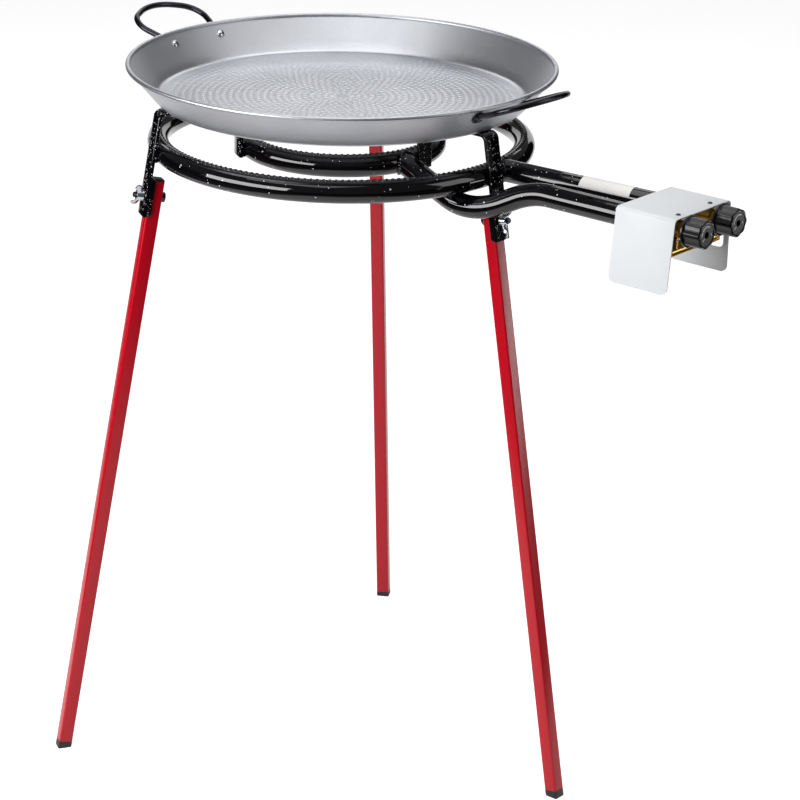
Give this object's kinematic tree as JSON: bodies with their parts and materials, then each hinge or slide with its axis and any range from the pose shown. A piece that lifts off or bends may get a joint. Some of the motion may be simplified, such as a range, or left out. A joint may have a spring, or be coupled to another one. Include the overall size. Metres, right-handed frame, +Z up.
{
  "type": "paella burner",
  "caption": "Free-standing gas paella burner: concentric ported ring tubes on splayed red legs, tap knobs under a white shield, and a flared steel pan with loop handles on top.",
  "frame": {"origin": "on the floor, under the common axis of the two rings", "axes": "+Z up; -Y from the ring axis towards the taps and knobs; +X to the right of a cook who faces the knobs"},
  "size_m": [0.573, 0.7714, 0.7786],
  "materials": {
    "enamel": "glossy black enamel, white specks",
    "leg_paint": "gloss red paint",
    "foot_plastic": "matt black",
    "bolt_steel": "zinc plated",
    "zinc": "bright zinc plated",
    "pan_steel": "polished steel",
    "handle_steel": "dark satin",
    "rivet_steel": "bright",
    "shield_coat": "white powder coat",
    "screw_black": "blackened",
    "brass": "turned brass",
    "spindle_steel": "turned",
    "knob_plastic": "satin black, white dial marks"
  },
  "bodies": {
    "stand": {"outer_ring": "enamel", "inner_ring": "enamel", "outer_inlet": "enamel", "inner_inlet": "enamel", "pan_support_front": "enamel", "pan_support_right": "enamel", "pan_support_left": "enamel", "control_shield": "shield_coat", "shield_screws": "screw_black", "gas_manifold": "brass", "manifold_plug": "brass", "hose_tail": "brass", "tap_body_inner": "brass", "tap_body_outer": "brass", "gland_nut_inner": "brass", "gland_nut_outer": "brass", "injector_inner": "brass", "injector_outer": "brass"},
    "pan": {"paella_pan": "pan_steel", "pan_handle_front": "handle_steel", "pan_handle_back": "handle_steel", "pan_rivets": "rivet_steel"},
    "inner_knob": {"knob_inner": "knob_plastic", "tap_spindle_inner": "spindle_steel"},
    "outer_knob": {"knob_outer": "knob_plastic", "tap_spindle_outer": "spindle_steel"},
    "front_leg": {"leg_front": "leg_paint", "leg_foot_front": "foot_plastic", "leg_cap_front": "foot_plastic", "leg_bolt_front": "bolt_steel"},
    "right_leg": {"leg_right": "leg_paint", "leg_foot_right": "foot_plastic", "leg_cap_right": "foot_plastic", "leg_bolt_right": "bolt_steel"},
    "left_leg": {"leg_left": "leg_paint", "leg_foot_left": "foot_plastic", "leg_cap_left": "foot_plastic", "leg_bolt_left": "bolt_steel"},
    "front_wing_nut": {"wing_nut_front": "zinc"},
    "right_wing_nut": {"wing_nut_right": "zinc"},
    "left_wing_nut": {"wing_nut_left": "zinc"}
  },
  "joints": [
    {"name": "pan_lift", "type": "slide", "parent": "stand", "child": "pan", "axis": [0, 0, 1], "range_m": [0, 0.3]},
    {"name": "inner_knob_turn", "type": "hinge", "parent": "stand", "child": "inner_knob", "pos_m": [-0.013, -0.455, 0.676], "axis": [0, -1, 0], "range_deg": [0, 180]},
    {"name": "outer_knob_turn", "type": "hinge", "parent": "stand", "child": "outer_knob", "pos_m": [0.042, -0.455, 0.676], "axis": [0, -1, 0], "range_deg": [0, 180]},
    {"name": "front_leg_pull", "type": "slide", "parent": "stand", "child": "front_leg", "axis": [0, 0.9848, -0.1736], "range_m": [0, 0.04]},
    {"name": "right_leg_pull", "type": "slide", "parent": "stand", "child": "right_leg", "axis": [-0.8529, -0.4924, -0.1736], "range_m": [0, 0.04]},
    {"name": "left_leg_pull", "type": "slide", "parent": "stand", "child": "left_leg", "axis": [0.8529, -0.4924, -0.1736], "range_m": [0, 0.04]},
    {"name": "front_wing_nut_turn", "type": "hinge", "parent": "stand", "child": "front_wing_nut", "pos_m": [0, -0.22009, 0.63252], "axis": [0, -0.9848, 0.1736], "range_deg": [0, 810]},
    {"name": "right_wing_nut_turn", "type": "hinge", "parent": "stand", "child": "right_wing_nut", "pos_m": [0.1906, 0.11004, 0.63252], "axis": [0.8529, 0.4924, 0.1736], "range_deg": [0, 810]},
    {"name": "left_wing_nut_turn", "type": "hinge", "parent": "stand", "child": "left_wing_nut", "pos_m": [-0.1906, 0.11004, 0.63252], "axis": [-0.8529, 0.4924, 0.1736], "range_deg": [0, 810]}
  ]
}
